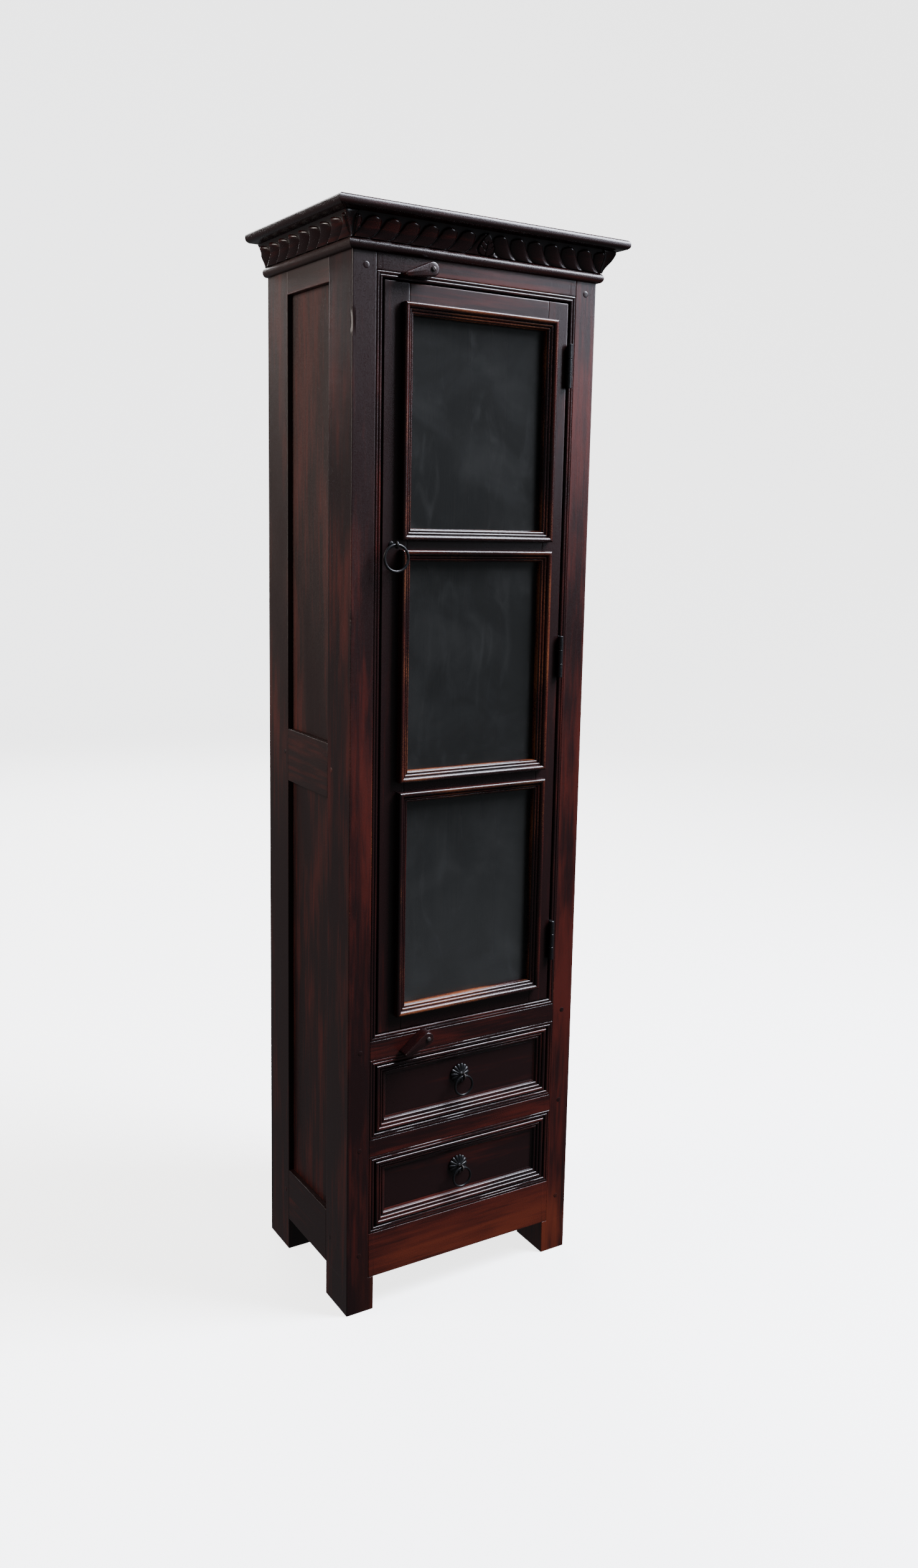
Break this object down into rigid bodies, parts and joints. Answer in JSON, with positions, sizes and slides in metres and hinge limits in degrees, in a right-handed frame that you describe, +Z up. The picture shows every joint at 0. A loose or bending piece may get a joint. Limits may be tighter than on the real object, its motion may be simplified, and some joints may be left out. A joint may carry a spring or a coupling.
{
  "type": "display case",
  "caption": "Tall narrow display case in dark lacquered wood: glazed hinged door held by turn buttons above sliding drawers with ring pulls, under a carved cornice and top board.",
  "frame": {"origin": "on the floor under the middle of the overall footprint", "axes": "+Z up, -Y out of the front with the door and drawers, +X to the hinge side"},
  "size_m": [0.526, 0.368, 1.8],
  "materials": {
    "lacquered_wood": "dark red-brown glossy lacquer over hardwood",
    "drawer_wood": "plain oiled hardwood inside the drawers",
    "black_iron": "blackened iron, worn at the edges",
    "steel_screw": "darkened steel screw",
    "pane_glass": "old float glass with a dull film at its edges"
  },
  "bodies": {
    "carcass": {"back_left_post": "lacquered_wood", "back_panel": "lacquered_wood", "back_right_post": "lacquered_wood", "base_board": "lacquered_wood", "cabinet_floor": "lacquered_wood", "cornice_front_moulding": "lacquered_wood", "cornice_left_moulding": "lacquered_wood", "cornice_right_moulding": "lacquered_wood", "cornice_top_board": "lacquered_wood", "drawer_divider_rail": "lacquered_wood", "drawer_dust_board": "lacquered_wood", "front_apron": "lacquered_wood", "front_left_post": "lacquered_wood", "front_middle_rail": "lacquered_wood", "front_right_post": "lacquered_wood", "front_top_rail": "lacquered_wood", "left_apron": "lacquered_wood", "left_lower_panel": "lacquered_wood", "left_middle_rail": "lacquered_wood", "left_top_rail": "lacquered_wood", "left_upper_panel": "lacquered_wood", "lower_hinge_frame_leaf": "black_iron", "lower_shelf": "lacquered_wood", "lower_turn_button_screw": "steel_screw", "middle_hinge_frame_leaf": "black_iron", "right_apron": "lacquered_wood", "right_lower_panel": "lacquered_wood", "right_middle_rail": "lacquered_wood", "right_top_rail": "lacquered_wood", "right_upper_panel": "lacquered_wood", "upper_hinge_frame_leaf": "black_iron", "upper_shelf": "lacquered_wood", "upper_turn_button_screw": "steel_screw"},
    "door": {"door_bottom_rail": "lacquered_wood", "door_hinge_stile": "lacquered_wood", "door_latch_stile": "lacquered_wood", "door_lower_mid_rail": "lacquered_wood", "door_pull_eye": "black_iron", "door_top_rail": "lacquered_wood", "door_upper_mid_rail": "lacquered_wood", "lower_glass": "pane_glass", "lower_hinge_door_leaf": "black_iron", "lower_pane_moulding": "lacquered_wood", "middle_glass": "pane_glass", "middle_hinge_door_leaf": "black_iron", "middle_pane_moulding": "lacquered_wood", "upper_glass": "pane_glass", "upper_hinge_door_leaf": "black_iron", "upper_pane_moulding": "lacquered_wood"},
    "door_ring": {"door_ring": "black_iron"},
    "upper_turn_button": {"upper_turn_button": "lacquered_wood"},
    "lower_turn_button": {"lower_turn_button": "lacquered_wood"},
    "upper_drawer": {"upper_drawer_box": "drawer_wood", "upper_drawer_front": "lacquered_wood", "upper_drawer_pull_rosette": "black_iron"},
    "upper_drawer_ring": {"upper_drawer_pull_ring": "black_iron"},
    "lower_drawer": {"lower_drawer_box": "drawer_wood", "lower_drawer_front": "lacquered_wood", "lower_drawer_pull_rosette": "black_iron"},
    "lower_drawer_ring": {"lower_drawer_pull_ring": "black_iron"}
  },
  "joints": [
    {"name": "door_swing", "type": "hinge", "parent": "carcass", "child": "door", "pos_m": [0.171, -0.149, 1.1], "axis": [0, 0, 1], "range_deg": [0, 110]},
    {"name": "door_ring_swing", "type": "hinge", "parent": "door", "child": "door_ring", "pos_m": [-0.153, -0.161, 1.298], "axis": [-1, 0, 0], "range_deg": [0, 120]},
    {"name": "upper_turn_button_turn", "type": "hinge", "parent": "carcass", "child": "upper_turn_button", "pos_m": [-0.099, -0.1565, 1.714], "axis": [0, -1, 0], "range_deg": [0, 150]},
    {"name": "lower_turn_button_turn", "type": "hinge", "parent": "carcass", "child": "lower_turn_button", "pos_m": [-0.086, -0.1565, 0.478], "axis": [0, 1, 0], "range_deg": [0, 86]},
    {"name": "upper_drawer_slide", "type": "slide", "parent": "carcass", "child": "upper_drawer", "axis": [0, -1, 0], "range_m": [0, 0.23]},
    {"name": "upper_drawer_ring_swing", "type": "hinge", "parent": "upper_drawer", "child": "upper_drawer_ring", "pos_m": [-0.005, -0.151, 0.388], "axis": [-1, 0, 0], "range_deg": [0, 120]},
    {"name": "lower_drawer_slide", "type": "slide", "parent": "carcass", "child": "lower_drawer", "axis": [0, -1, 0], "range_m": [0, 0.23]},
    {"name": "lower_drawer_ring_swing", "type": "hinge", "parent": "lower_drawer", "child": "lower_drawer_ring", "pos_m": [-0.005, -0.151, 0.218], "axis": [-1, 0, 0], "range_deg": [0, 120]}
  ]
}
